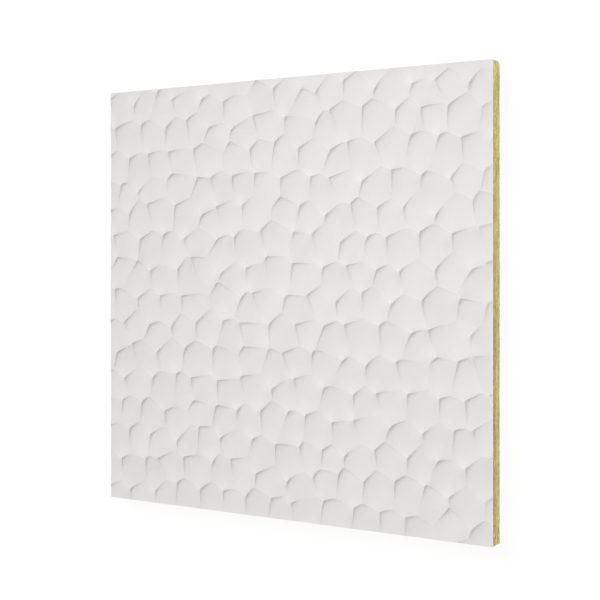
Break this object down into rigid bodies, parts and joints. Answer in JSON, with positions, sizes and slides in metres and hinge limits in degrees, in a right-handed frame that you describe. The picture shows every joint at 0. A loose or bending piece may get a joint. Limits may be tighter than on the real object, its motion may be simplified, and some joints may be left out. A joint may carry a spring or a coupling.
{
  "type": "ceiling tile",
  "caption": "Square acoustic ceiling tile: wool board with a white moulded facing of shallow scoops that meet in fine crests.",
  "frame": {"origin": "centre of the tile's bare back, which it lies on", "axes": "+Z out of the scooped face, +X to the right and +Y to the top of the tile as the picture shows it"},
  "size_m": [0.6, 0.6, 0.025],
  "materials": {
    "wool": "bare compressed wool, matt",
    "facing": "white, smooth, dull satin"
  },
  "bodies": {
    "root": {"wool_board": "wool", "facing": "facing"}
  },
  "joints": []
}
